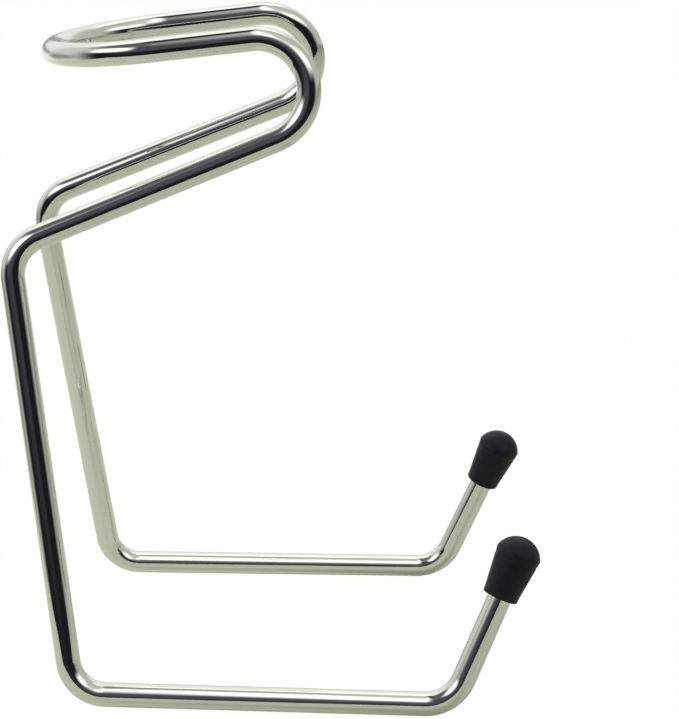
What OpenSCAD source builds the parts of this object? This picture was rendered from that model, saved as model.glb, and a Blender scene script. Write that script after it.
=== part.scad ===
// Double headphone hook that slips over the edge of a desktop.
//
// One polished round wire is bent into a closed loop with two level arms, which lie on the
// desktop. Past the desk edge each arm turns back under it, slants inwards, drops as a leg and
// turns out again as a cradle arm with an upturned tip. A soft push-on cap covers each wire end.
//
// Millimetres, +Z up. The arms run along X with the closed loop at -X, the plane of symmetry is
// y = 0, and the user sits on the +X side. The origin is on the desktop, under the wire, where
// the arms run into the main bend.

/* [Wire] */
// Diameter of the wire
wire_d = 5; // [3:0.5:8]
// Chamfer on each cut end of the wire
wire_end_chamfer = 0.6; // [0.2:0.1:1]

/* [Desktop loop] */
// Radius of the closed loop, to the middle of the wire
loop_r = 22.5; // [14:0.5:32]
// Straight length of each arm between the loop and the main bend
arm_length = 20; // [10:1:60]

/* [Main bend round the desk edge] */
// Radius of the main bend, to the middle of the wire
main_r = 10.5; // [8:0.1:20]
// Angle that the wire turns in the main bend
main_angle = 164.3; // [150:0.1:175]
// Outward tilt of each side, from the arms down to the tips
splay_angle = 9.2; // [0:0.1:14]

/* [Leg] */
// Straight length of the slanted part under the desktop
slant_length = 52.2; // [35:0.1:80]
// Radius of the knee, to the middle of the wire
knee_r = 8.3; // [6:0.1:15]
// Angle that the wire turns in the knee
knee_angle = 75.6; // [60:0.1:85]
// Straight length of the leg
leg_length = 79; // [50:0.5:140]

/* [Cradle] */
// Radius of the foot bend, to the middle of the wire
foot_r = 7.8; // [6:0.1:15]
// Angle that the wire turns in the foot bend
foot_angle = 81; // [70:0.1:95]
// Straight length of the cradle arm
cradle_length = 65.5; // [40:0.5:110]
// Radius of the toe bend, to the middle of the wire
toe_r = 8.5; // [6:0.1:15]
// Angle that the wire turns in the toe bend
toe_angle = 68.3; // [45:0.1:90]
// Straight length of bare wire between the toe bend and the cap's mouth
tip_length = 18.5; // [5:0.5:50]

/* [End caps] */
// Length of wire held inside each cap
cap_grip = 9; // [5:0.5:14]
// Height of the cap's tapered side, from its mouth to its crown
cap_side_h = 9.8; // [8:0.1:18]
// Height of the cap's domed end, above the crown
cap_dome_h = 3.4; // [2:0.1:4.4]
// Wall of the cap at its mouth
cap_mouth_wall = 1.1; // [0.6:0.1:2]
// Wall of the cap at its crown, where it is widest
cap_crown_wall = 2.2; // [1.4:0.1:3]
// Height of the plain rim round the mouth
cap_rim_h = 0.8; // [0.5:0.1:2]
// Step of the rim outside the tapered side
cap_rim_step = 0.15; // [0.1:0.05:0.6]
// Gap between the wire's end and the bottom of the socket
cap_end_gap = 0.3; // [0.2:0.1:1]
// Radial gap between the socket and the wire, none on a push-on cap
cap_fit = 0; // [0:0.05:0.3]

/* [Hidden] */
$fn = 96;

wire_r = wire_d / 2;
// The pieces of the wire's path overlap by this depth, and the bends are thicker by this step,
// so that no two of their faces coincide
join_depth = 0.1;
join_step = 0.01;

cap_socket_r = wire_r + cap_fit;
cap_socket_h = cap_grip + cap_end_gap;
cap_mouth_r = cap_socket_r + cap_mouth_wall;
cap_crown_r = cap_socket_r + cap_crown_wall;
// The domed end is the part of a ball above the crown
cap_ball_r = (cap_crown_r ^ 2 + cap_dome_h ^ 2) / (2 * cap_dome_h);
cap_ball_z = cap_side_h + cap_dome_h - cap_ball_r;

chrome = [0.78, 0.79, 0.76];
soft_black = [0.07, 0.07, 0.08];

// The wire's path is a chain of pieces. Each starts at the local origin, runs along +Z and
// bends towards +X, and its children carry on from its far end. With solid = false a piece
// draws nothing and only moves its children.

// A straight runs into the bend at each end of it
module straight(length, solid = true) {
    if (solid)
        translate([0, 0, -join_depth])
            cylinder(d = wire_d, h = length + 2 * join_depth);
    translate([0, 0, length])
        children();
}

// A bend of up to 180 degrees, cut from a whole ring by a plane at each end
module bend(radius, angle, solid = true) {
    reach = 2 * (radius + wire_d);
    translate([radius, 0, 0]) {
        if (solid)
            intersection() {
                rotate([90, 0, 0])
                    rotate_extrude()
                        translate([radius, 0])
                            circle(r = wire_r + join_step);
                translate([-reach, -wire_d, 0])
                    cube([2 * reach, 2 * wire_d, reach]);
                if (angle < 180)
                    rotate([0, angle, 0])
                        translate([-reach, -wire_d, -reach])
                            cube([2 * reach, 2 * wire_d, reach]);
            }
        rotate([0, angle, 0])
            translate([-radius, 0, 0])
                children();
    }
}

module roll(angle) {
    rotate([0, 0, angle])
        children();
}

// The closed end of the loop, from the right arm round to the left one
module loop_end() {
    translate([-arm_length, loop_r, wire_r])
        rotate([0, -90, 0])
            roll(-90)
                bend(loop_r, 180);
}

// The left side's path, from the end of the loop to the start of its tip
module left_path(solid) {
    translate([-arm_length, -loop_r, wire_r])
        rotate([0, 90, 0])
            roll(-splay_angle)
            straight(arm_length, solid)
            bend(main_r, main_angle, solid)
            straight(slant_length, solid)
            roll(180)
            bend(knee_r, knee_angle, solid)
            straight(leg_length, solid)
            bend(foot_r, foot_angle, solid)
            straight(cradle_length, solid)
            bend(toe_r, toe_angle, solid)
            children();
}

// The last straight, with its chamfered end inside the cap
module tip() {
    plain_length = tip_length + cap_grip - wire_end_chamfer;
    translate([0, 0, -join_depth])
        cylinder(d = wire_d, h = join_depth + plain_length);
    translate([0, 0, plain_length])
        cylinder(r1 = wire_r, r2 = wire_r - wire_end_chamfer, h = wire_end_chamfer);
}

module to_right_side() {
    mirror([0, 1, 0])
        children();
}

module bent_wire() {
    color(chrome)
        union() {
            loop_end();
            left_path(solid = true)
                tip();
            to_right_side()
                left_path(solid = true)
                    tip();
        }
}

module cap_outline() {
    difference() {
        union() {
            // Side, widening from the mouth to the crown
            polygon([[0, 0], [cap_mouth_r, 0], [cap_crown_r, cap_side_h], [0, cap_side_h]]);
            // Rim round the mouth
            square([cap_mouth_r + cap_rim_step, cap_rim_h]);
            // Domed end
            intersection() {
                translate([0, cap_ball_z])
                    circle(r = cap_ball_r);
                translate([0, cap_side_h])
                    square([cap_crown_r, cap_dome_h]);
            }
        }
        square([cap_socket_r, cap_socket_h]);
    }
}

module end_cap() {
    color(soft_black)
        rotate_extrude()
            cap_outline();
}

module left_end_cap() {
    left_path(solid = false)
        translate([0, 0, tip_length])
            end_cap();
}

module right_end_cap() {
    to_right_side()
        left_end_cap();
}

bent_wire();
left_end_cap();
right_end_cap();
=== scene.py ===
"""Looks of the double headphone hook: one bent, polished wire and two soft end caps.

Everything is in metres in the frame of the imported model: +Z up, the wire's arms along X, the
plane of symmetry at y = 0 and the origin on the desktop under the start of the main bends.
"""

import logging
import math
from dataclasses import dataclass, field
from enum import Enum

import bpy
from mathutils import Euler, Matrix, Vector

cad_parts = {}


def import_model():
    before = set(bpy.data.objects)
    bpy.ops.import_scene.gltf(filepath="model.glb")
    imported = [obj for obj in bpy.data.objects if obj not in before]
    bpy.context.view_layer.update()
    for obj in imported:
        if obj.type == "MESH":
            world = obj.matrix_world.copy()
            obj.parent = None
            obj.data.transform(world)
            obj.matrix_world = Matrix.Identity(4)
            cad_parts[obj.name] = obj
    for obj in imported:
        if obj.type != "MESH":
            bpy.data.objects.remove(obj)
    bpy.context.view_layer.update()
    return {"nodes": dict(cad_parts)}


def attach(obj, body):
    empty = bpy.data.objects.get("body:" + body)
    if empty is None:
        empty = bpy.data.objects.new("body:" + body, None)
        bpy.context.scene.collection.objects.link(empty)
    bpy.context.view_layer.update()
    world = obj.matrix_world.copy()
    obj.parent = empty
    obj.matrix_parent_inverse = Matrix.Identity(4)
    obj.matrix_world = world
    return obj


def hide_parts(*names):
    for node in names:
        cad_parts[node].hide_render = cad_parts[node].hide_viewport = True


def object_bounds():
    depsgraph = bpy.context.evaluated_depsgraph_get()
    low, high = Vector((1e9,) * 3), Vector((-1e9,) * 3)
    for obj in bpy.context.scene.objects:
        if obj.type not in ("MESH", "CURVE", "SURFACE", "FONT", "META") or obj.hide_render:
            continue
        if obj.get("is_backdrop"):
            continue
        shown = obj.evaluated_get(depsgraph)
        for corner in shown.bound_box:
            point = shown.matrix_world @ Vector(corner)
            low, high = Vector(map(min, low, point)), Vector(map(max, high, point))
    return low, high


MM = 0.001
BODY = "root"
WIRE_COORD = "wire_coord"
MERGE = 1e-7
SPIN_HAND = -1  # mesh.spin turns left-handed about its axis
HALF_TURN = 180.0  # degrees
VALUE = "NodeSocketFloat"
VECTOR = "NodeSocketVector"
Colour = tuple[float, ...]
Socket = bpy.types.NodeSocket
log = logging.getLogger("headphone_hook")


# --------------------------------------------------------------------------- modelling helpers


def start_primitive(name: str) -> bpy.types.Object:
    """Names the primitive that was just added and opens it in edit mode, selected all over.

    Args:
        name: The new name of the object and its mesh.

    Returns:
        The active object, with its origin at the model's and in edit mode.
    """
    obj = bpy.context.active_object
    obj.name = obj.data.name = name
    bpy.ops.object.transform_apply(location=True, rotation=True, scale=True)
    bpy.ops.object.mode_set(mode="EDIT")
    bpy.ops.mesh.select_mode(type="VERT")
    return obj


def deselect_everything() -> None:
    """Clears the object selection, so that an operator acts only on what comes next."""
    bpy.ops.object.select_all(action="DESELECT")


def finish_piece(obj: bpy.types.Object, sharp_angle: float) -> None:
    """Closes edit mode, turns the faces outwards and smooths them below an angle.

    Args:
        obj: The piece, in edit mode.
        sharp_angle: The angle in radians above which an edge stays sharp.
    """
    bpy.ops.mesh.select_all(action="SELECT")
    bpy.ops.mesh.remove_doubles(threshold=MERGE)
    bpy.ops.mesh.normals_make_consistent(inside=False)
    bpy.ops.object.mode_set(mode="OBJECT")
    bpy.ops.object.transform_apply(location=True, rotation=True, scale=True)
    bpy.ops.object.shade_smooth_by_angle(angle=sharp_angle)
    obj.select_set(False)


def hand_over(obj: bpy.types.Object, node: str) -> None:
    """Puts a finished piece on the object's body, in place of its CAD node.

    Args:
        obj: The finished piece.
        node: The CAD node that it stands for.
    """
    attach(obj, BODY)
    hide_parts(node)
    log.info("%s: %d faces, stands for %s", obj.name, len(obj.data.polygons), node)


# --------------------------------------------------------------------------- the wire's path


class Turn(Enum):
    """Which way a bend turns: down round the desk, or back up round the hook."""

    DOWN = 1.0
    UP = -1.0


@dataclass
class WireSizes:
    """Sizes of the bent wire, in metres and radians, as the CAD model has them."""

    wire_r: float = 2.5 * MM
    loop_r: float = 22.5 * MM
    arm_length: float = 20 * MM
    main_r: float = 10.5 * MM
    main_angle: float = math.radians(164.3)
    splay: float = math.radians(9.2)
    slant_length: float = 52.2 * MM
    knee_r: float = 8.3 * MM
    knee_angle: float = math.radians(75.6)
    leg_length: float = 79 * MM
    foot_r: float = 7.8 * MM
    foot_angle: float = math.radians(81)
    cradle_length: float = 65.5 * MM
    toe_r: float = 8.5 * MM
    toe_angle: float = math.radians(68.3)
    tip_length: float = 18.5 * MM
    grip_length: float = 9 * MM
    end_chamfer: float = 0.6 * MM


@dataclass
class PathFrame:
    """A place on the wire's middle line: where it is, its heading and which way it bends."""

    point: Vector
    heading: Vector
    inward: Vector

    def forward(self, length: float) -> "PathFrame":
        """Returns the place a straight length further on."""
        return PathFrame(self.point + self.heading * length, self.heading, self.inward)

    def turned(self, radius: float, angle: float, turn: Turn) -> "PathFrame":
        """Returns the place at the far end of a bend.

        Args:
            radius: The bend's radius to the middle of the wire.
            angle: How far it turns.
            turn: Which way it turns.

        Returns:
            The place at the bend's end.
        """
        centre = self.bend_centre(radius, turn)
        spin = Matrix.Rotation(angle * turn.value, 3, self.axis())
        return PathFrame(centre + spin @ (self.point - centre), spin @ self.heading, spin @ self.inward)

    def bend_centre(self, radius: float, turn: Turn) -> Vector:
        """Returns the middle of a bend that starts here."""
        return self.point + self.inward * radius * turn.value

    def axis(self) -> Vector:
        """Returns the axis of a bend that turns the heading towards inward."""
        return self.heading.cross(self.inward)


@dataclass(frozen=True)
class Straight:
    """A straight stretch of the wire's path."""

    length: float

    def run(self) -> float:
        """Returns how much wire it takes."""
        return self.length

    def end(self, place: PathFrame) -> PathFrame:
        """Returns where it ends when it starts at a place."""
        return place.forward(self.length)


@dataclass(frozen=True)
class Bend:
    """A round bend in the wire's path, with its radius to the middle of the wire."""

    radius: float
    angle: float
    turn: Turn

    def run(self) -> float:
        """Returns how much wire it takes."""
        return self.radius * self.angle

    def end(self, place: PathFrame) -> PathFrame:
        """Returns where it ends when it starts at a place."""
        return place.turned(self.radius, self.angle, self.turn)


def side_steps(size: WireSizes) -> list[Straight | Bend]:
    """The path of one side, from the start of its arm to the start of its tip.

    Args:
        size: The wire's sizes.

    Returns:
        The steps in order.
    """
    return [
        Straight(size.arm_length),
        Bend(size.main_r, size.main_angle, Turn.DOWN),
        Straight(size.slant_length),
        Bend(size.knee_r, size.knee_angle, Turn.UP),
        Straight(size.leg_length),
        Bend(size.foot_r, size.foot_angle, Turn.UP),
        Straight(size.cradle_length),
        Bend(size.toe_r, size.toe_angle, Turn.UP),
    ]


def run_to_cradle(size: WireSizes) -> float:
    """Adds up the wire from the loop's middle to the start of a cradle arm.

    Args:
        size: The wire's sizes.

    Returns:
        The length of wire.
    """
    steps = side_steps(size)
    before = steps[: steps.index(Straight(size.cradle_length))]
    return size.loop_r * math.pi / 2 + sum(step.run() for step in before)


def arm_start(size: WireSizes) -> PathFrame:
    """The start of the left arm, where the loop's round end runs into it.

    Args:
        size: The wire's sizes.

    Returns:
        The place, with its bends turned down and tilted outwards.
    """
    inward = Vector((0.0, -math.sin(size.splay), -math.cos(size.splay)))
    return PathFrame(Vector((-size.arm_length, -size.loop_r, size.wire_r)), Vector((1, 0, 0)), inward)


def tip_start(size: WireSizes) -> PathFrame:
    """Follows the left side's path to the start of its tip.

    Args:
        size: The wire's sizes.

    Returns:
        The place at the end of the toe bend.
    """
    place = arm_start(size)
    for step in side_steps(size):
        place = step.end(place)
    return place


# --------------------------------------------------------------------------- shader helpers


class NodeSheet:
    """Adds nodes to one node tree and joins them."""

    def __init__(self, tree: bpy.types.NodeTree) -> None:
        """Starts on a tree.

        Args:
            tree: The tree of a material, a world or a node group.
        """
        self.tree = tree

    def feed(self, socket: Socket, value: object) -> None:
        """Links a socket to an output, or sets its own value.

        Args:
            socket: The input socket.
            value: An output socket, or a plain value.
        """
        if isinstance(value, Socket):
            self.tree.links.new(value, socket)
        else:
            socket.default_value = value

    def add(self, kind: str, settings: dict[str, object], inputs: dict[str, object]) -> bpy.types.Node:
        """Adds a node.

        Args:
            kind: Its type, such as ShaderNodeMath.
            settings: The node's own options.
            inputs: A value or an output for each named input.

        Returns:
            The node.
        """
        node = self.tree.nodes.new(kind)
        for name, value in settings.items():
            setattr(node, name, value)
        for name, value in inputs.items():
            self.feed(node.inputs[name], value)
        return node

    def feed_in_order(self, node: bpy.types.Node, *values: object) -> None:
        """Feeds the inputs of a node one after another."""
        for socket, value in zip(node.inputs, values):
            self.feed(socket, value)

    def math(self, operation: str, *values: object) -> Socket:
        """Adds a Math node.

        Args:
            operation: The node's operation.
            values: A number or an output for each input, in order.

        Returns:
            The node's output.
        """
        node = self.add("ShaderNodeMath", {"operation": operation}, {})
        self.feed_in_order(node, *values)
        return node.outputs[0]

    def scaled(self, vector: Socket, scale: tuple[float, float, float]) -> Socket:
        """Multiplies each part of a vector by a number of its own.

        Args:
            vector: The vector.
            scale: The number for each part.

        Returns:
            The scaled vector.
        """
        node = self.add("ShaderNodeVectorMath", {"operation": "MULTIPLY"}, {})
        self.feed_in_order(node, vector, scale)
        return node.outputs["Vector"]

    def noise(self, vector: object, scale: object, detail: float, roughness: float) -> Socket:
        """Returns the value of a noise texture.

        Args:
            vector: Where it is read.
            scale: Its scale.
            detail: How many octaves it has.
            roughness: How strong its small octaves are.

        Returns:
            A value about 0.5.
        """
        inputs = {"Vector": vector, "Scale": scale, "Detail": detail, "Roughness": roughness}
        return self.add("ShaderNodeTexNoise", {}, inputs).outputs["Fac"]

    def span(self, value: object, low: object, high: object, start: object, end: object) -> Socket:
        """Maps a value smoothly from one span to another.

        Args:
            value: The value.
            low: Where the first span starts.
            high: Where the first span ends.
            start: What low becomes.
            end: What high becomes.

        Returns:
            The mapped value.
        """
        inputs = {"Value": value, "From Min": low, "From Max": high, "To Min": start, "To Max": end}
        node = self.add("ShaderNodeMapRange", {"interpolation_type": "SMOOTHSTEP"}, inputs)
        return node.outputs["Result"]

    def mix(self, mask: object, first: object, second: object) -> Socket:
        """Mixes two colours.

        Args:
            mask: 0 gives the first and 1 the second.
            first: A colour or an output.
            second: A colour or an output.

        Returns:
            The mixed colour.
        """
        node = self.add("ShaderNodeMix", {"data_type": "RGBA"}, {})
        self.feed(node.inputs["Factor"], mask)
        self.feed(node.inputs["A"], first)
        self.feed(node.inputs["B"], second)
        return node.outputs["Result"]

    def group(self, tree: bpy.types.NodeTree, inputs: dict[str, object]) -> bpy.types.Node:
        """Places a shared node group and feeds its inputs."""
        return self.add("ShaderNodeGroup", {"node_tree": tree}, inputs)


def new_group(name: str, inputs: dict[str, str], outputs: dict[str, str]) -> tuple[NodeSheet, dict, dict]:
    """Starts a shader node group with named sockets.

    Args:
        name: The group's name.
        inputs: The socket type of each input.
        outputs: The socket type of each output.

    Returns:
        The group's sheet, its input values by name, and the sockets that its results go to.
    """
    tree = bpy.data.node_groups.new(name, "ShaderNodeTree")
    for socket, kind in inputs.items():
        tree.interface.new_socket(socket, in_out="INPUT", socket_type=kind)
    for socket, kind in outputs.items():
        tree.interface.new_socket(socket, in_out="OUTPUT", socket_type=kind)
    start = tree.nodes.new("NodeGroupInput")
    end = tree.nodes.new("NodeGroupOutput")
    return NodeSheet(tree), dict(start.outputs.items()), dict(end.inputs.items())


@dataclass(frozen=True)
class Smudges:
    """Handling marks and dust: soft patches broken up by fine specks."""

    patch_detail: float = 3.0
    patch_roughness: float = 0.55
    patch_low: float = 0.48
    patch_high: float = 0.68
    speck_detail: float = 2.0
    speck_roughness: float = 0.5
    speck_low: float = 0.66
    speck_high: float = 0.74
    crowd_low: float = 0.4
    crowd_high: float = 0.6
    lone_specks: float = 0.25

    def group(self) -> bpy.types.NodeTree:
        """Makes the shared group.

        Returns:
            The group, with a Vector, a patch and a speck scale, and the masks Patches and Specks.
        """
        inputs = {"Vector": VECTOR, "Patch Scale": VALUE, "Speck Scale": VALUE}
        masks = {"Patches": VALUE, "Specks": VALUE}
        sheet, given, result = new_group("smudges_and_dust", inputs, masks)
        place = given["Vector"]
        patches = sheet.noise(place, given["Patch Scale"], self.patch_detail, self.patch_roughness)
        specks = sheet.noise(place, given["Speck Scale"], self.speck_detail, self.speck_roughness)
        soft = sheet.span(patches, self.patch_low, self.patch_high, 0.0, 1.0)
        sheet.feed(result["Patches"], soft)
        sharp = sheet.span(specks, self.speck_low, self.speck_high, 0.0, 1.0)
        crowd = sheet.span(patches, self.crowd_low, self.crowd_high, self.lone_specks, 1.0)
        sheet.feed(result["Specks"], sheet.math("MULTIPLY", sharp, crowd))
        return sheet.tree


@dataclass(frozen=True)
class FineRelief:
    """Fine relief: a grain at one scale on a slow swell at another."""

    grain_detail: float = 3.0
    grain_roughness: float = 0.6
    swell_detail: float = 1.0
    swell_roughness: float = 0.4

    def group(self) -> bpy.types.NodeTree:
        """Makes the shared group.

        Returns:
            The group, with a Vector and two scales, and the heights Grain and Swell.
        """
        inputs = {"Vector": VECTOR, "Grain Scale": VALUE, "Swell Scale": VALUE}
        heights = {"Grain": VALUE, "Swell": VALUE}
        sheet, given, result = new_group("grain_and_swell", inputs, heights)
        place = given["Vector"]
        grain = sheet.noise(place, given["Grain Scale"], self.grain_detail, self.grain_roughness)
        swell = sheet.noise(place, given["Swell Scale"], self.swell_detail, self.swell_roughness)
        sheet.feed(result["Grain"], grain)
        sheet.feed(result["Swell"], swell)
        return sheet.tree


@dataclass(frozen=True)
class SharedGroups:
    """The node groups that more than one finish uses."""

    smudges: bpy.types.NodeTree
    relief: bpy.types.NodeTree


def start_material(name: str) -> tuple[bpy.types.Material, NodeSheet, bpy.types.Node]:
    """Starts a material.

    Args:
        name: Its name.

    Returns:
        The material, its sheet and its Principled shader.
    """
    material = bpy.data.materials.new(name)
    material.use_nodes = True
    sheet = NodeSheet(material.node_tree)
    return material, sheet, material.node_tree.nodes["Principled BSDF"]


def object_place(sheet: NodeSheet) -> Socket:
    """Returns the place on the piece, in metres in the model's frame."""
    return sheet.add("ShaderNodeTexCoord", {}, {}).outputs["Object"]


@dataclass(frozen=True)
class PolishedWireFinish:
    """Bright plated wire: a mirror with drawing lines along it, handling marks and worn spots.

    Scales of marks are per metre, and those of lines, grain and swell per millimetre of the wire.
    """

    plate: Colour = (0.80, 0.80, 0.765, 1.0)
    worn_plate: Colour = (0.72, 0.71, 0.66, 1.0)
    smooth: float = 0.025
    lined: float = 0.08
    smudged: float = 0.16
    haze: float = 0.35
    dusted: float = 0.05
    line_scale: tuple[float, float, float] = (6.0, 6.0, 0.12)
    line_detail: float = 4.0
    line_roughness: float = 0.6
    line_low: float = 0.45
    line_high: float = 0.75
    line_height: float = 0.0012 * MM
    swell_height: float = 0.012 * MM
    patch_scale: float = 90.0
    speck_scale: float = 1400.0
    grain_scale: float = 1.6
    swell_scale: float = 0.09
    rubbed_core: float = 0.5

    def material(self, groups: SharedGroups, size: WireSizes) -> bpy.types.Material:
        """Makes the material.

        Args:
            groups: The shared node groups.
            size: The wire's sizes, for the stretches that wear.

        Returns:
            The material, which reads the wire_coord attribute along and around the wire.
        """
        material, sheet, shader = start_material("polished_wire")
        shader.inputs["Metallic"].default_value = 1.0
        place = object_place(sheet)
        along = sheet.add("ShaderNodeAttribute", {"attribute_name": WIRE_COORD}, {}).outputs["Vector"]
        stretched = sheet.scaled(along, self.line_scale)
        drawn = sheet.noise(stretched, 1.0, self.line_detail, self.line_roughness)
        lines = sheet.span(drawn, self.line_low, self.line_high, 0.0, 1.0)
        mark_scales = {"Patch Scale": self.patch_scale, "Speck Scale": self.speck_scale}
        marks = sheet.group(groups.smudges, {"Vector": place, **mark_scales})
        relief_scales = {"Grain Scale": self.grain_scale, "Swell Scale": self.swell_scale}
        relief = sheet.group(groups.relief, {"Vector": along, **relief_scales})
        rubbed = self.rubbed_stretch(sheet, along, size)
        worn = sheet.math("MULTIPLY", rubbed, lines)
        sheet.feed(shader.inputs["Base Color"], sheet.mix(worn, self.plate, self.worn_plate))
        rough = sheet.span(lines, 0.0, 1.0, self.smooth, self.lined)
        hazy = sheet.math("MULTIPLY", marks.outputs["Patches"], self.smudged - self.smooth)
        rough = sheet.math("ADD", rough, sheet.math("MULTIPLY", hazy, self.haze))
        dusty = sheet.math("MULTIPLY", marks.outputs["Specks"], self.dusted)
        rough = sheet.math("ADD", rough, dusty)
        sheet.feed(shader.inputs["Roughness"], rough)
        height = sheet.math("MULTIPLY", drawn, self.line_height)
        height = sheet.math("MULTIPLY_ADD", relief.outputs["Swell"], self.swell_height, height)
        height = sheet.math("MULTIPLY_ADD", relief.outputs["Grain"], self.line_height, height)
        bump = sheet.add("ShaderNodeBump", {}, {"Strength": 1.0, "Distance": 1.0, "Height": height})
        sheet.feed(shader.inputs["Normal"], bump.outputs["Normal"])
        return material

    def rubbed_stretch(
        self, sheet: NodeSheet, along: Socket, size: WireSizes
    ) -> Socket:
        """Masks the stretch of cradle arm that a headband rubs.

        Args:
            sheet: The material's sheet.
            along: The wire_coord attribute.
            size: The wire's sizes.

        Returns:
            A mask, 1 in the middle of the cradle arm and 0 off it.
        """
        half = size.cradle_length / MM / 2
        middle = run_to_cradle(size) / MM + half
        reach = sheet.math("ABSOLUTE", sheet.math("SUBTRACT", self.run_of(sheet, along), middle))
        return sheet.span(reach, half * self.rubbed_core, half, 1.0, 0.0)

    def run_of(self, sheet: NodeSheet, along: Socket) -> Socket:
        """Returns the distance along the wire, in millimetres from the loop's middle."""
        return sheet.add("ShaderNodeSeparateXYZ", {}, {"Vector": along}).outputs["Z"]


@dataclass(frozen=True)
class SoftCapFinish:
    """Satin black moulded rubber with a fine grain, dust and scuffs. Its scales are per metre."""

    rubber: Colour = (0.0082, 0.0072, 0.0122, 1.0)
    dusted: Colour = (0.03, 0.03, 0.036, 1.0)
    dust_share: float = 0.6
    scuffed: Colour = (0.013, 0.0125, 0.017, 1.0)
    scuff_share: float = 0.4
    smooth: float = 0.46
    matt: float = 0.62
    sheen: float = 0.22
    grain_height: float = 0.006 * MM
    swell_height: float = 0.03 * MM
    patch_scale: float = 260.0
    speck_scale: float = 5200.0
    grain_scale: float = 3800.0
    swell_scale: float = 330.0

    def material(self, groups: SharedGroups) -> bpy.types.Material:
        """Makes the material.

        Args:
            groups: The shared node groups.

        Returns:
            The material.
        """
        material, sheet, shader = start_material("soft_black_caps")
        shader.inputs["Specular IOR Level"].default_value = self.sheen
        place = object_place(sheet)
        mark_scales = {"Patch Scale": self.patch_scale, "Speck Scale": self.speck_scale}
        marks = sheet.group(groups.smudges, {"Vector": place, **mark_scales}).outputs
        relief_scales = {"Grain Scale": self.grain_scale, "Swell Scale": self.swell_scale}
        relief = sheet.group(groups.relief, {"Vector": place, **relief_scales})
        scuffs = sheet.math("MULTIPLY", marks["Patches"], self.scuff_share)
        dust = sheet.math("MULTIPLY", marks["Specks"], self.dust_share)
        colour = sheet.mix(dust, sheet.mix(scuffs, self.rubber, self.scuffed), self.dusted)
        sheet.feed(shader.inputs["Base Color"], colour)
        rough = sheet.span(marks["Patches"], 0.0, 1.0, self.smooth, self.matt)
        sheet.feed(shader.inputs["Roughness"], rough)
        height = sheet.math("MULTIPLY", relief.outputs["Grain"], self.grain_height)
        height = sheet.math("MULTIPLY_ADD", relief.outputs["Swell"], self.swell_height, height)
        bump = sheet.add("ShaderNodeBump", {}, {"Strength": 1.0, "Distance": 1.0, "Height": height})
        sheet.feed(shader.inputs["Normal"], bump.outputs["Normal"])
        return material


# --------------------------------------------------------------------------- the wire


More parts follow.
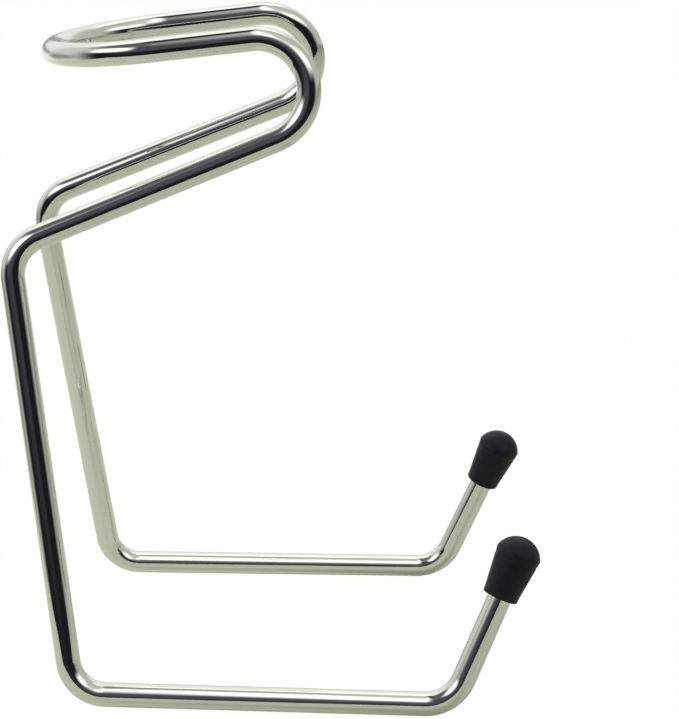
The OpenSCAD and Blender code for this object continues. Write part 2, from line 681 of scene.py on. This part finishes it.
@dataclass
class BentWire:
    """The bent wire, modelled from the middle of its loop to one cut end and then mirrored."""

    size: WireSizes = field(default_factory=WireSizes)
    ring_points: int = 64
    bend_step: float = math.radians(2.5)
    ease: float = 0.3 * MM
    sharp_angle: float = math.radians(30)
    rings: list[tuple[PathFrame, float, float]] = field(default_factory=list)
    run: float = 0.0

    def build(self, groups: SharedGroups, finish: PolishedWireFinish) -> bpy.types.Object:
        """Models the wire and gives it its finish.

        Args:
            groups: The shared node groups.
            finish: The wire's finish.

        Returns:
            The finished piece.
        """
        wire, apex = self.start_ring()
        self.add_bend(apex, Bend(self.size.loop_r, math.pi / 2, Turn.DOWN), self.loop_phase())
        place = arm_start(self.size)
        for step in side_steps(self.size):
            if isinstance(step, Bend):
                place = self.add_bend(place, step)
            else:
                place = self.add_straight(place, step.length)
        bare_and_gripped = self.size.tip_length + self.size.grip_length
        place = self.add_straight(place, bare_and_gripped - self.size.end_chamfer)
        self.close_end(place)
        self.store_run(wire)
        self.mirror(wire)
        finish_piece(wire, self.sharp_angle)
        wire.data.materials.append(finish.material(groups, self.size))
        hand_over(wire, "bent_wire")
        return wire

    def loop_phase(self) -> float:
        """Returns the angle round the wire from the loop's inner side to the bends' inner side."""
        return math.pi / 2 + self.size.splay

    def start_ring(self) -> tuple[bpy.types.Object, PathFrame]:
        """Adds the wire's section at the middle of the loop.

        Returns:
            The object, in edit mode with the ring selected, and the ring's place.
        """
        apex = Vector((-self.size.arm_length - self.size.loop_r, 0, self.size.wire_r))
        deselect_everything()
        bpy.ops.mesh.primitive_circle_add(
            vertices=self.ring_points, radius=self.size.wire_r, location=apex, rotation=(math.pi / 2, 0, 0)
        )
        wire = start_primitive("polished_wire")
        place = PathFrame(apex, Vector((0, -1, 0)), Vector((1, 0, 0)))
        self.note_ring(place, 0.0, self.loop_phase())
        return wire, place

    def note_ring(self, place: PathFrame, length: float, phase: float) -> None:
        """Keeps the place of a new ring for the wire's own coordinates.

        Args:
            place: The ring's place.
            length: How far it is from the ring before.
            phase: What is added to the angle round the wire there.
        """
        self.run += length
        self.rings.append((place, self.run, phase))

    def add_straight(self, place: PathFrame, length: float) -> PathFrame:
        """Extrudes the end ring along a straight, with a short piece at each end to keep it true.

        Args:
            place: Where the straight starts.
            length: Its length.

        Returns:
            Where it ends.
        """
        for part in (self.ease, length - 2 * self.ease, self.ease):
            bpy.ops.mesh.extrude_region_move(TRANSFORM_OT_translate={"value": place.heading * part})
            place = place.forward(part)
            self.note_ring(place, part, 0.0)
        return place

    def add_bend(self, place: PathFrame, bend: Bend, phase: float = 0.0) -> PathFrame:
        """Spins the end ring round a bend.

        Args:
            place: Where the bend starts.
            bend: The bend.
            phase: What is added to the angle round the wire there.

        Returns:
            Where it ends.
        """
        steps = math.ceil(bend.angle / self.bend_step)
        axis = place.axis() * bend.turn.value
        centre = place.bend_centre(bend.radius, bend.turn)
        bpy.ops.mesh.spin(steps=steps, angle=SPIN_HAND * bend.angle, center=centre, axis=axis)
        for step in range(1, steps + 1):
            ring = place.turned(bend.radius, bend.angle * step / steps, bend.turn)
            self.note_ring(ring, bend.run() / steps, phase)
        return bend.end(place)

    def close_end(self, place: PathFrame) -> None:
        """Chamfers and closes the cut end.

        Args:
            place: Where the chamfer starts.
        """
        chamfer = self.size.end_chamfer
        bpy.ops.mesh.extrude_region_move(TRANSFORM_OT_translate={"value": place.heading * chamfer})
        shrink = 1 - chamfer / self.size.wire_r
        end = place.forward(chamfer)
        bpy.ops.transform.resize(value=(shrink, shrink, shrink), center_override=end.point)
        bpy.ops.mesh.edge_face_add()
        self.note_ring(end, chamfer, 0.0)

    def store_run(self, wire: bpy.types.Object) -> None:
        """Stores where each point is around and along the wire, in millimetres.

        Args:
            wire: The half wire, in edit mode.
        """
        bpy.ops.object.mode_set(mode="OBJECT")
        coord = wire.data.attributes.new(WIRE_COORD, "FLOAT_VECTOR", "POINT")
        for index, vertex in enumerate(wire.data.vertices):
            place, run, phase = self.rings[index // self.ring_points]
            arm = vertex.co - place.point
            angle = math.atan2(arm.dot(place.axis()), arm.dot(place.inward)) + phase
            radius = self.size.wire_r / MM
            coord.data[index].vector = (radius * math.cos(angle), radius * math.sin(angle), run / MM)

    def mirror(self, wire: bpy.types.Object) -> None:
        """Mirrors the half wire in the plane of symmetry and goes back to edit mode.

        Args:
            wire: The half wire, in object mode.
        """
        bpy.ops.object.modifier_add(type="MIRROR")
        other_half = wire.modifiers[-1]
        other_half.use_axis = (False, True, False)
        other_half.merge_threshold = MERGE
        bpy.ops.object.modifier_apply(modifier=other_half.name)
        bpy.ops.object.mode_set(mode="EDIT")


# --------------------------------------------------------------------------- the end caps


@dataclass
class CapSizes:
    """Sizes of one push-on cap, in metres, with its mouth at z = 0 and its axis along +z.

    The rim runs straight up to rim_side of its height and meets the side at rim_foot of it. The
    side shares are heights that keep the side's faces short. The crease has points at multiples
    of its half height, each with its share of the depth.
    """

    socket_r: float = 2.5 * MM
    socket_depth: float = 9.3 * MM
    mouth_wall: float = 1.1 * MM
    crown_wall: float = 2.2 * MM
    side_h: float = 9.8 * MM
    side_shares: tuple[float, ...] = (0.35, 0.6)
    dome_h: float = 3.4 * MM
    rim_step: float = 0.1 * MM
    rim_h: float = 0.8 * MM
    rim_side: float = 0.6
    rim_foot: float = 1.3
    lip_r: float = 0.3 * MM
    socket_edge: float = 0.15 * MM
    crease_z: float = 8.4 * MM
    crease_depth: float = 0.09 * MM
    crease_half_h: float = 0.2 * MM
    crease_points: tuple = ((-2.0, 0.0), (-1.0, 0.15), (0.0, 1.0), (1.0, 0.15), (2.0, 0.0))

    def side_radius(self, height: float) -> float:
        """Returns the outside radius of the tapered side at a height."""
        mouth = self.socket_r + self.mouth_wall
        return mouth + (self.crown_wall - self.mouth_wall) * height / self.side_h


@dataclass
class EndCap:
    """One soft cap, modelled ring by ring in its own frame and then set on a wire end."""

    size: CapSizes = field(default_factory=CapSizes)
    ring_points: int = 96
    arc_steps: int = 6
    dome_steps: int = 18
    pole_angle: float = 88.0  # degrees up the dome where its last ring is
    sharp_angle: float = math.radians(50)

    def arc(self, middle: tuple, radius: float, start: float, end: float, steps: int) -> list[tuple]:
        """Returns points of a round corner in the outline.

        Args:
            middle: Its middle, as radius from the axis and height.
            radius: Its radius.
            start: The angle of its first point, from outwards towards +z, in degrees.
            end: The angle of its last point.
            steps: How many steps it has.

        Returns:
            Points as (radius from the axis, height).
        """
        angles = [math.radians(start + (end - start) * k / steps) for k in range(steps + 1)]
        return [(middle[0] + radius * math.cos(a), middle[1] + radius * math.sin(a)) for a in angles]

    def outline(self) -> list[tuple[float, float]]:
        """The cap's outline, from the bottom of the socket round the mouth to near the pole.

        Returns:
            Points as (radius from the axis, height).
        """
        size = self.size
        mouth_r = size.side_radius(0) + size.rim_step
        points = [(size.socket_r, size.socket_depth), (size.socket_r, size.socket_edge)]
        points.append((size.socket_r + size.socket_edge, 0.0))
        lip_middle = (mouth_r - size.lip_r, size.lip_r)
        points += self.arc(lip_middle, size.lip_r, -90, 0, self.arc_steps)
        points.append((mouth_r, size.rim_h * size.rim_side))
        heights = [size.rim_h * size.rim_foot] + [size.side_h * share for share in size.side_shares]
        points += [(size.side_radius(height), height) for height in heights]
        for offset, depth in size.crease_points:
            height = size.crease_z + offset * size.crease_half_h
            points.append((size.side_radius(height) - depth * size.crease_depth, height))
        return points + self.dome()

    def dome(self) -> list[tuple[float, float]]:
        """The domed end, from the crown up to the ring round the pole.

        Returns:
            Points as (radius from the axis, height).
        """
        size = self.size
        crown_r = size.side_radius(size.side_h)
        ball_r = (crown_r**2 + size.dome_h**2) / (2 * size.dome_h)
        middle = (0.0, size.side_h + size.dome_h - ball_r)
        first = math.degrees(math.asin((size.side_h - middle[1]) / ball_r))
        return self.arc(middle, ball_r, first, self.pole_angle, self.dome_steps)

    def build(self, name: str) -> bpy.types.Object:
        """Models the cap in its own frame.

        Args:
            name: The piece's name.

        Returns:
            The piece, finished but not yet in place.
        """
        points = self.outline()
        deselect_everything()
        bpy.ops.mesh.primitive_circle_add(
            vertices=self.ring_points, radius=points[0][0], location=(0, 0, points[0][1]), fill_type="NGON"
        )
        cap = start_primitive(name)
        bpy.ops.mesh.select_mode(type="EDGE")
        for (radius, height), (next_radius, next_height) in zip(points, points[1:]):
            rise = (0, 0, next_height - height)
            bpy.ops.mesh.extrude_edges_move(TRANSFORM_OT_translate={"value": rise})
            self.widen(next_radius / radius, next_height)
        self.close_pole()
        finish_piece(cap, self.sharp_angle)
        return cap

    def widen(self, factor: float, height: float) -> None:
        """Scales the selected ring outwards or inwards about the axis."""
        bpy.ops.transform.resize(value=(factor, factor, 1), center_override=(0, 0, height))

    def close_pole(self) -> None:
        """Closes the last ring at the top of the dome."""
        bpy.ops.mesh.edge_face_add()

    def set_on(self, cap: bpy.types.Object, place: PathFrame) -> None:
        """Moves a cap from its own frame on to the end of the wire.

        Args:
            cap: The cap.
            place: Where its mouth goes, heading towards its dome.
        """
        turn = place.heading.to_track_quat("Z", "Y").to_matrix().to_4x4()
        cap.matrix_world = Matrix.Translation(place.point) @ turn
        deselect_everything()
        cap.select_set(True)
        bpy.context.view_layer.objects.active = cap
        bpy.ops.object.transform_apply(location=True, rotation=True, scale=True)


@dataclass
class CapPair:
    """The two caps: one is modelled and set on the left end, and its mirror copy on the right."""

    wire: WireSizes
    cap: EndCap = field(default_factory=EndCap)

    def build(self, groups: SharedGroups, finish: SoftCapFinish) -> list[bpy.types.Object]:
        """Models, places and dresses both caps.

        Args:
            groups: The shared node groups.
            finish: The caps' finish.

        Returns:
            The two pieces.
        """
        mouth = tip_start(self.wire).forward(self.wire.tip_length)
        left = self.cap.build("soft_cap_left")
        self.cap.set_on(left, mouth)
        right = self.mirrored(left, "soft_cap_right")
        rubber = finish.material(groups)
        for cap, node in ((left, "left_end_cap"), (right, "right_end_cap")):
            cap.data.materials.append(rubber)
            hand_over(cap, node)
        return [left, right]

    def mirrored(self, cap: bpy.types.Object, name: str) -> bpy.types.Object:
        """Copies a cap to the other side.

        Args:
            cap: The cap to copy.
            name: The copy's name.

        Returns:
            The copy, with a mesh of its own and its faces outwards.
        """
        copy = cap.copy()
        copy.data = cap.data.copy()
        copy.name = copy.data.name = name
        bpy.context.scene.collection.objects.link(copy)
        deselect_everything()
        copy.select_set(True)
        bpy.context.view_layer.objects.active = copy
        copy.scale.y = -1
        bpy.ops.object.transform_apply(location=True, rotation=True, scale=True)
        bpy.ops.object.mode_set(mode="EDIT")
        finish_piece(copy, self.cap.sharp_angle)
        return copy


# --------------------------------------------------------------------------- the studio


@dataclass(frozen=True)
class Patch:
    """A soft-edged rectangle of light or shade in the room, in degrees as seen from the hook.

    Across is the azimuth, 0 on the open side, where the camera stands, and +90 towards +X. Up is
    the elevation.
    """

    across: float
    up: float
    half_width: float
    half_height: float
    edge: float
    colour: Colour

    def measures(self) -> dict[str, float]:
        """Names its place and size as the patch group does.

        Returns:
            A number for each of the group's inputs.
        """
        return {
            "Patch Across": self.across,
            "Patch Up": self.up,
            "Half Width": self.half_width,
            "Half Height": self.half_height,
            "Edge": self.edge,
        }


# The room round the studio table. Each patch lies over the ones before it
ROOM_PATCHES = (
    # The white tent behind the hook: its right half, its shaded right end and its left half
    Patch(135, 15, 45, 30, 40, (1.0, 1.0, 0.85)),
    Patch(100, 50, 45, 80, 35, (0.55, 0.55, 0.5)),
    Patch(-170, 30, 45, 55, 10, (0.95, 0.95, 0.93)),
    # The light that comes through its roof, and the gap under its back
    Patch(180, 65, 60, 15, 10, (1.3, 1.3, 1.25)),
    Patch(180, 5, 50, 5, 5, (0.35, 0.35, 0.35)),
    # The shaded left end of the tent, and the dark ceiling over the open side
    Patch(-110, -5, 20, 10, 10, (0.3, 0.3, 0.28)),
    Patch(-55, 70, 45, 20, 10, (0.12, 0.12, 0.14)),
    # The dark room on the open side, and the wall between its windows
    Patch(-5, -15, 75, 45, 20, (0.012, 0.012, 0.014)),
    Patch(-20, 30, 25, 25, 10, (0.08, 0.075, 0.095)),
    # The left and right windows, and the bright panel above them
    Patch(-50, 35, 20, 10, 10, (2.6, 2.6, 2.5)),
    Patch(50, 30, 25, 10, 10, (1.5, 1.5, 1.45)),
    Patch(10, 65, 10, 25, 10, (1.7, 1.7, 1.65)),
    # The dark frame of the tent's roof
    Patch(-105, 85, 125, 5, 5, (0.015, 0.015, 0.02)),
)


@dataclass(frozen=True)
class SoftLight:
    """A square soft light, which lights without being seen or mirrored itself."""

    name: str
    place: tuple[float, float, float]
    aim: tuple[float, float, float]
    size: float
    power: float

    def build(self) -> None:
        """Makes the light."""
        light = bpy.data.lights.new(self.name, "AREA")
        light.energy = self.power
        light.size = self.size
        lamp = bpy.data.objects.new(self.name, light)
        bpy.context.scene.collection.objects.link(lamp)
        lamp.location = self.place
        away = Vector(self.place) - Vector(self.aim)
        lamp.rotation_euler = away.to_track_quat("Z", "Y").to_euler()
        lamp.visible_camera = False
        lamp.visible_glossy = False


SOFT_LIGHTS = (
    SoftLight("key", place=(-0.2, -0.12, 0.35), aim=(-0.16, -0.1, -0.13), size=0.15, power=1.3),
    SoftLight("back", place=(-0.1, 0.6, 0.4), aim=(-0.1, 0.6, -0.1), size=0.4, power=6.0),
)


@dataclass(frozen=True)
class Studio:
    """A pale floor in a white tent, which is open towards a dark room with two windows."""

    backdrop: Colour = (1.0, 1.0, 0.995)
    tent: Colour = (0.69, 0.70, 0.66)
    floor_colour: Colour = (0.37, 0.38, 0.32)
    floor_drop: float = 2.0 * MM
    floor_low: tuple[float, float] = (-0.30, -0.25)
    floor_high: tuple[float, float] = (3.0, 3.0)
    camera_glow: float = 0.985

    def build(self) -> None:
        """Makes the room, the floor and the lights."""
        self.room(self.patch_group())
        self.floor()
        for light in SOFT_LIGHTS:
            light.build()

    def patch_group(self) -> bpy.types.NodeTree:
        """Makes the group that masks one soft-edged patch.

        Returns:
            The group, with a place and the patch's measures, and the output Mask.
        """
        names = ("Across", "Up", "Patch Across", "Patch Up", "Half Width", "Half Height", "Edge")
        inputs = {name: VALUE for name in names}
        sheet, given, result = new_group("soft_patch", inputs, {"Mask": VALUE})
        turned = sheet.math("SUBTRACT", given["Across"], given["Patch Across"])
        across = sheet.math("ABSOLUTE", sheet.math("WRAP", turned, HALF_TURN, -HALF_TURN))
        up = sheet.math("ABSOLUTE", sheet.math("SUBTRACT", given["Up"], given["Patch Up"]))
        sides = []
        for reach, half in ((across, "Half Width"), (up, "Half Height")):
            inner = sheet.math("SUBTRACT", given[half], given["Edge"])
            outer = sheet.math("ADD", given[half], given["Edge"])
            sides.append(sheet.span(reach, inner, outer, 1.0, 0.0))
        sheet.feed(result["Mask"], sheet.math("MULTIPLY", sides[0], sides[1]))
        return sheet.tree

    def room_colour(
        self, sheet: NodeSheet, patch_tree: bpy.types.NodeTree, across: object, up: object
    ) -> Socket:
        """Lays the room's patches over the tent, each over the ones before.

        Args:
            sheet: The world's sheet.
            patch_tree: The patch group.
            across: The azimuth of the direction looked in.
            up: Its elevation.

        Returns:
            The room's colour there.
        """
        colour = (*self.tent, 1)
        for patch in ROOM_PATCHES:
            here = sheet.group(patch_tree, {"Across": across, "Up": up, **patch.measures()})
            colour = sheet.mix(here.outputs["Mask"], colour, (*patch.colour, 1))
        return colour

    def room(self, patch_tree: bpy.types.NodeTree) -> None:
        """Makes the world: the room, which the wire mirrors, and a plain backdrop for the camera.

        Args:
            patch_tree: The patch group.
        """
        world = bpy.data.worlds.new("studio")
        bpy.context.scene.world = world
        world.use_nodes = True
        sheet = NodeSheet(world.node_tree)
        direction = sheet.add("ShaderNodeTexCoord", {}, {}).outputs["Generated"]
        parts = sheet.add("ShaderNodeSeparateXYZ", {}, {"Vector": direction}).outputs
        forward = sheet.math("MULTIPLY", parts["Y"], -1.0)
        azimuth = sheet.math("DEGREES", sheet.math("ARCTAN2", parts["X"], forward))
        elevation = sheet.math("DEGREES", sheet.math("ARCSINE", parts["Z"]))
        colour = self.room_colour(sheet, patch_tree, azimuth, elevation)
        seen = sheet.add("ShaderNodeLightPath", {}, {}).outputs["Is Camera Ray"]
        colour = sheet.mix(seen, colour, (*self.backdrop, 1))
        sheet.feed(world.node_tree.nodes["Background"].inputs["Color"], colour)

    def floor(self) -> None:
        """Lays the plain pale floor just below the hook, with its near edge at the dark room."""
        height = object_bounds()[0][2] - self.floor_drop
        middle = [(low + high) / 2 for low, high in zip(self.floor_low, self.floor_high)]
        span = [high - low for low, high in zip(self.floor_low, self.floor_high)]
        deselect_everything()
        bpy.ops.mesh.primitive_plane_add(size=1.0, location=(*middle, height))
        floor = bpy.context.active_object
        floor.scale = (*span, 1.0)
        bpy.ops.object.transform_apply(location=True, rotation=True, scale=True)
        floor.name = floor.data.name = "floor"
        material, sheet, shader = start_material("pale_floor")
        shader.inputs["Base Color"].default_value = (*self.floor_colour, 1)
        shader.inputs["Roughness"].default_value = 1.0
        shader.inputs["Specular IOR Level"].default_value = 0.0
        glow = sheet.add("ShaderNodeEmission", {}, {"Color": (*self.backdrop, 1)})
        seen = sheet.add("ShaderNodeLightPath", {}, {}).outputs["Is Camera Ray"]
        share = sheet.math("MULTIPLY", seen, self.camera_glow)
        shown = sheet.add("ShaderNodeMixShader", {}, {})
        sheet.feed_in_order(shown, share, shader.outputs[0], glow.outputs[0])
        output = material.node_tree.nodes["Material Output"]
        sheet.feed(output.inputs["Surface"], shown.outputs[0])
        floor.data.materials.append(material)
        floor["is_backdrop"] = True


@dataclass(frozen=True)
class Viewpoint:
    """The camera: from the left side and a little above, rolled slightly. Its lens is in mm."""

    aim: tuple[float, float, float] = (9.29 * MM, 0.0, -70.83 * MM)
    distance: float = 562.9 * MM
    azimuth: float = math.radians(2.14)
    elevation: float = math.radians(13.78)
    roll: float = math.radians(-6.72)
    lens: float = 130.77
    sensor: float = 36.0
    clip_start: float = 10 * MM

    def build(self) -> None:
        """Makes the scene's camera."""
        level = math.cos(self.elevation)
        outwards = Vector(
            (math.sin(self.azimuth) * level, -math.cos(self.azimuth) * level, math.sin(self.elevation))
        )
        lens = bpy.data.cameras.new("camera")
        lens.lens = self.lens
        lens.sensor_width = self.sensor
        lens.clip_start = self.clip_start
        camera = bpy.data.objects.new("camera", lens)
        bpy.context.scene.collection.objects.link(camera)
        camera.location = Vector(self.aim) + outwards * self.distance
        turn = outwards.to_track_quat("Z", "Y") @ Euler((0, 0, self.roll)).to_quaternion()
        camera.rotation_euler = turn.to_euler()
        bpy.context.scene.camera = camera


# --------------------------------------------------------------------------- putting it together


def main() -> None:
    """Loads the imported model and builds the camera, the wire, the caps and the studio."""
    logging.basicConfig(level=logging.INFO, format="%(name)s: %(message)s")
    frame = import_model()
    log.info("the packed model has %d nodes", len(frame["nodes"]))
    bpy.context.scene.view_settings.view_transform = "Standard"
    Viewpoint().build()
    groups = SharedGroups(smudges=Smudges().group(), relief=FineRelief().group())
    wire = BentWire()
    wire.build(groups, PolishedWireFinish())
    CapPair(wire.size).build(groups, SoftCapFinish())
    Studio().build()


if __name__ == "__main__":
    main()
